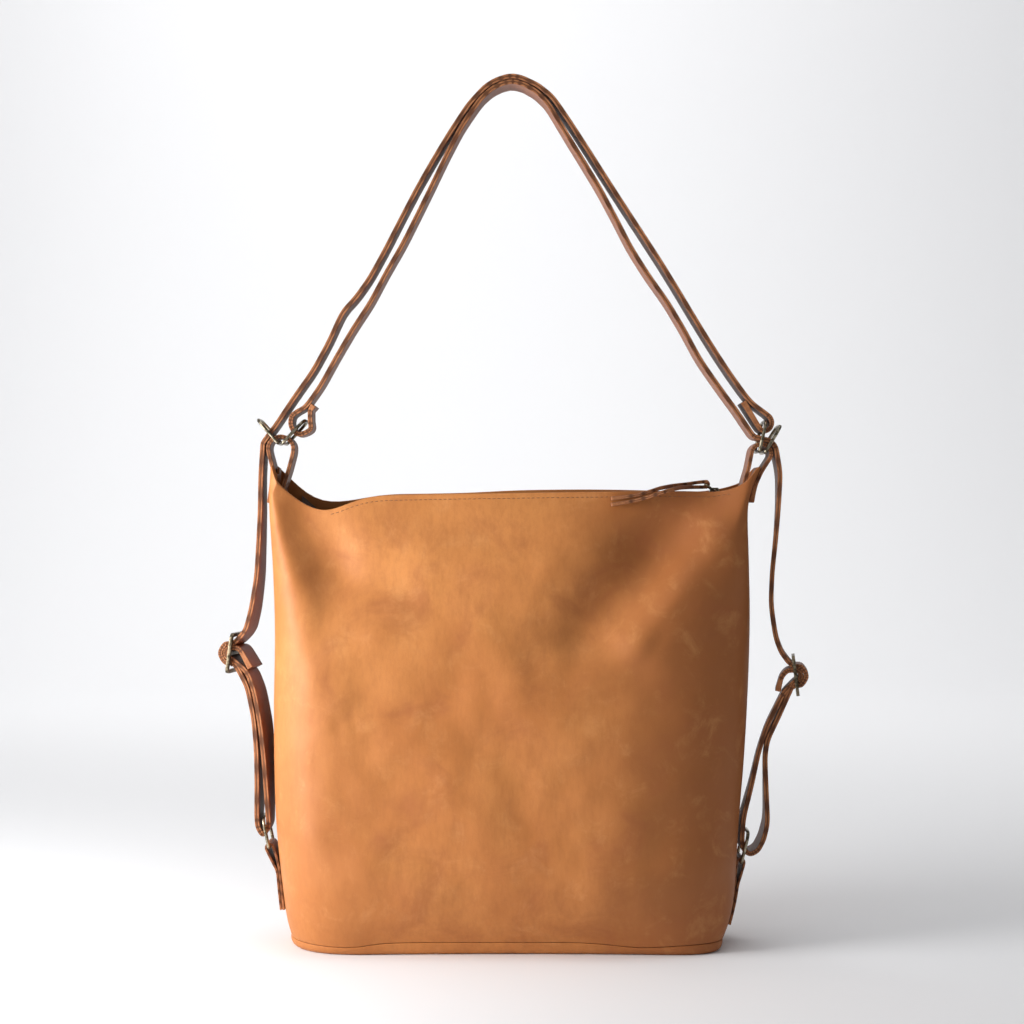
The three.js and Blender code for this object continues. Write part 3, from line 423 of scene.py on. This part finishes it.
def split_between(mesh, middle):
    """Halves the lines that lie inside the raw edges, or, once there is a middle, only those that
    end at it. Gives the new corners."""
    raw = raw_faces(mesh)
    before = len(mesh.vertices)
    sides = {}
    for face in mesh.polygons:
        for key in face.edge_keys:
            sides.setdefault(key, []).append(face.index)
    for part in (mesh.polygons, mesh.vertices):
        for one in part:
            one.select = False
    for edge in mesh.edges:
        within = all(face in raw for face in sides[edge.key])
        ends = middle.intersection(edge.vertices)
        edge.select = within and (len(ends) == 1 if middle else True)
    bpy.ops.object.mode_set(mode="EDIT")
    bpy.ops.mesh.select_mode(type="EDGE")
    bpy.ops.mesh.subdivide(number_cuts=1)
    bpy.ops.mesh.select_mode(type="VERT")
    bpy.ops.object.mode_set(mode="OBJECT")
    return set(range(before, len(mesh.vertices)))


def raw_strip(node, name, groove, swell):
    """A strip of two layers, with the joint between them sunk into its raw edges."""
    piece = soft_copy(node, name, 0, 0)
    mesh = piece.data
    edge_mark = mesh.attributes.new("raw_edge", "FLOAT", "FACE")
    raw = raw_faces(mesh)
    for face in mesh.polygons:
        edge_mark.data[face.index].value = 1.0 if face.index in raw else 0.0
    middle = split_between(mesh, set())
    split_between(mesh, middle)
    for vertex in mesh.vertices:
        vertex.select = vertex.index in middle
    only(piece)
    bpy.ops.object.mode_set(mode="EDIT")
    bpy.ops.transform.shrink_fatten(value=-groove)
    bpy.ops.object.mode_set(mode="OBJECT")
    layer = mesh.attributes.new("layer", "FLOAT", "POINT")
    near = {end for edge in mesh.edges for end in edge.vertices
            if middle.intersection(edge.vertices)}
    for vertex in mesh.vertices:
        from_joint = 0.0 if vertex.index in middle else 0.5 if vertex.index in near else 1.0
        layer.data[vertex.index].value = from_joint
    round_edges(piece, strap_round, corner=55)
    add_skin(piece, 2)
    finish_modifiers(piece)
    bpy.ops.object.mode_set(mode="EDIT")
    bpy.ops.mesh.select_all(action="SELECT")
    bpy.ops.transform.shrink_fatten(value=swell)
    bpy.ops.object.mode_set(mode="OBJECT")
    bpy.ops.object.shade_smooth()
    return piece


dark_brown = (0.17, 0.062, 0.03, 1)
mid_brown = (0.25, 0.1, 0.05, 1)
fibre_brown = (0.25, 0.085, 0.032, 1)
fibre_tan = (0.46, 0.19, 0.075, 1)
joint_brown = (0.05, 0.014, 0.005, 1)
strap_hide, shade, surface = new_finish("strap_hide")
place = shade.node("TexCoord", output="Object")
edge_mark = shade.node("Attribute", {"attribute_name": "raw_edge"}, output=2)
layer = shade.node("Attribute", {"attribute_name": "layer"}, output=2)
clouds = shade.node("TexNoise", None, {"Vector": place, "Scale": 30.0, "Detail": 6.0,
                                       "Roughness": 0.6, "Distortion": 0.1})
grain = shade.node("TexVoronoi", None, {"Vector": place, "Scale": 1300.0})
fibres = shade.node("TexNoise", {"noise_dimensions": "4D"},
                    {"Vector": place, "W": layer * 0.035, "Scale": 180.0, "Detail": 4.0,
                     "Roughness": 0.65})
face_color = clouds.between(0.3, 0.7).mixed(dark_brown, mid_brown)
edge_color = fibres.between(0.22, 0.78).mixed(fibre_brown, fibre_tan)
joint = 1 - layer.between(0.02, 0.3)
edge_color = (joint * 0.8).mixed(edge_color, joint_brown)
relief = edge_mark * fibres * 2 + 0.3 * grain + 0.3 * clouds
bump = shade.node("Bump", None, {"Strength": 0.5, "Distance": 0.0005, "Height": relief})
set_surface(shade, surface, {"Base Color": edge_mark.mixed(face_color, edge_color),
                             "Roughness": 0.42 + 0.2 * clouds + 0.2 * edge_mark, "Normal": bump,
                             "Specular IOR Level": 0.3})

for node, name, groove, swell in (
    ("top_tab_left", "tab_ear_left", 0.0006, 0.0003),
    ("top_tab_right", "tab_ear_right", 0.0006, 0.0003),
    ("side_tab_left", "tab_seam_left", 0.0002, 0.0001),
    ("side_tab_right", "tab_seam_right", 0.0002, 0.0001),
    ("strap_left", "carry_strap_left", 0.0006, 0.0004),
    ("strap_right", "carry_strap_right", 0.0006, 0.0004),
    ("zip_pull_leather", "zip_thong", 0.0002, 0.0006),
):
    piece = raw_strip(node, name, groove, swell)
    dress(piece, strap_hide)
    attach(piece, "root")
    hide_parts(node)


# The metal: cast rings of round wire and flat sliders in antique brass, tarnished brown
# and brighter in random patches. They hang loose in the leather.
def brass_finish(name, dark, bright, roughness):
    brass, shade, surface = new_finish(name)
    place = shade.node("TexCoord", output="Object")
    tarnish = shade.node("TexNoise", None, {"Vector": place, "Scale": 260.0, "Detail": 6.0,
                                            "Roughness": 0.7})
    scratches = shade.node("TexNoise", None, {"Vector": place, "Scale": 1500.0, "Detail": 3.0})
    bump = shade.node("Bump", None, {"Strength": 0.2, "Distance": 0.0001, "Height": scratches})
    set_surface(shade, surface, {"Base Color": tarnish.between(0.4, 0.62).mixed(dark, bright),
                                 "Metallic": 1.0, "Roughness": roughness + 0.3 * tarnish,
                                 "Normal": bump})
    return brass


aged_brass = brass_finish("aged_brass", (0.1, 0.085, 0.055, 1), (0.46, 0.4, 0.29, 1), 0.18)
for node, name in (
    ("ring_pass_left", "d_ring_pass_left"),
    ("ring_fixed_left", "d_ring_fixed_left"),
    ("ring_pass_right", "d_ring_pass_right"),
    ("ring_fixed_right", "d_ring_fixed_right"),
    ("ring_lower_left", "d_ring_lower_left"),
    ("ring_lower_right", "d_ring_lower_right"),
):
    piece = soft_copy(node, name, 2, 0)
    dress(piece, aged_brass)
    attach(piece, "root")
    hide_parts(node)

plate_round = 0.0006
plate_corner = 40
slider_brass = brass_finish("slider_brass", (0.06, 0.048, 0.03, 1), (0.26, 0.21, 0.14, 1), 0.3)
for node, name in (("slider_left", "strap_slider_left"), ("slider_right", "strap_slider_right")):
    piece = soft_copy(node, name, 0, plate_round, plate_corner)
    bpy.ops.object.shade_smooth_by_angle(angle=math.radians(plate_corner))
    dress(piece, slider_brass)
    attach(piece, "root")
    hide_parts(node)


# The zip: two woven tapes sewn in behind the hems and a row of brass teeth. Its slider
# stands at the right end, where the zip is closed.
zip_cloth, shade, surface = new_finish("zip_cloth")
place = shade.node("TexCoord", output="Object")
ribs = shade.node("TexWave", {"bands_direction": "X"}, {"Vector": place, "Scale": 420.0})
threads = shade.node("TexWave", {"bands_direction": "Z"}, {"Vector": place, "Scale": 420.0})
wear = shade.node("TexNoise", None, {"Vector": place, "Scale": 150.0, "Detail": 4.0})
weave = ribs * threads
bump = shade.node("Bump", None, {"Strength": 0.5, "Distance": 0.0002, "Height": weave})
cloth = (0.6 * weave + 0.4 * wear).mixed((0.025, 0.012, 0.008, 1), (0.1, 0.05, 0.028, 1))
set_surface(shade, surface, {"Base Color": cloth, "Roughness": 0.75 + 0.15 * wear, "Normal": bump})
for node in ("zip_tape_front", "zip_tape_back"):
    dress(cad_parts[node], zip_cloth)

zip_metal = brass_finish("zip_metal", (0.1, 0.08, 0.05, 1), (0.42, 0.35, 0.23, 1), 0.22)
dress(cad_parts["zip_slider_body"], zip_metal)
puller = soft_copy("zip_puller", "zip_ring", 2, 0)

tooth_size = (0.0011, 0.0034, 0.0019)
tooth_round = 0.0003
tooth_corner = 35
tooth_pair = 0.0026
tooth_aside = 0.0008
line = {}
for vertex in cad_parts["zip_teeth"].data.vertices:
    line.setdefault(round(vertex.co.x, 3), []).append(vertex.co)
line = [sum(spots, Vector()) / len(spots) for _, spots in sorted(line.items())]
bpy.ops.object.select_all(action="DESELECT")
bpy.ops.mesh.primitive_cube_add(size=1)
tooth = bpy.context.object
tooth.scale = tooth_size
bpy.ops.object.transform_apply()
round_edges(tooth, tooth_round)
finish_modifiers(tooth)
bpy.ops.object.select_all(action="DESELECT")
for first, last in zip(line, line[1:]):
    way = last - first
    count = 2 * round(way.length / tooth_pair)
    for step in range(count):
        copy = tooth.copy()
        copy.data = tooth.data.copy()
        bpy.context.collection.objects.link(copy)
        sideways = Vector((0, tooth_aside if step % 2 else -tooth_aside, 0))
        copy.location = first + way * (step + 0.5) / count + sideways
        copy.rotation_euler = way.to_track_quat("X", "Z").to_euler()
        copy.select_set(True)
        bpy.context.view_layer.objects.active = copy
tooth_row = bpy.context.object
bpy.data.objects.remove(tooth)
bpy.ops.object.join()
bpy.ops.object.transform_apply()
bpy.ops.object.shade_smooth_by_angle(angle=math.radians(tooth_corner))
tooth_row.name = "zip_tooth_row"
for piece, node in ((puller, "zip_puller"), (tooth_row, "zip_teeth")):
    dress(piece, zip_metal)
    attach(piece, "root")
    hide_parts(node)
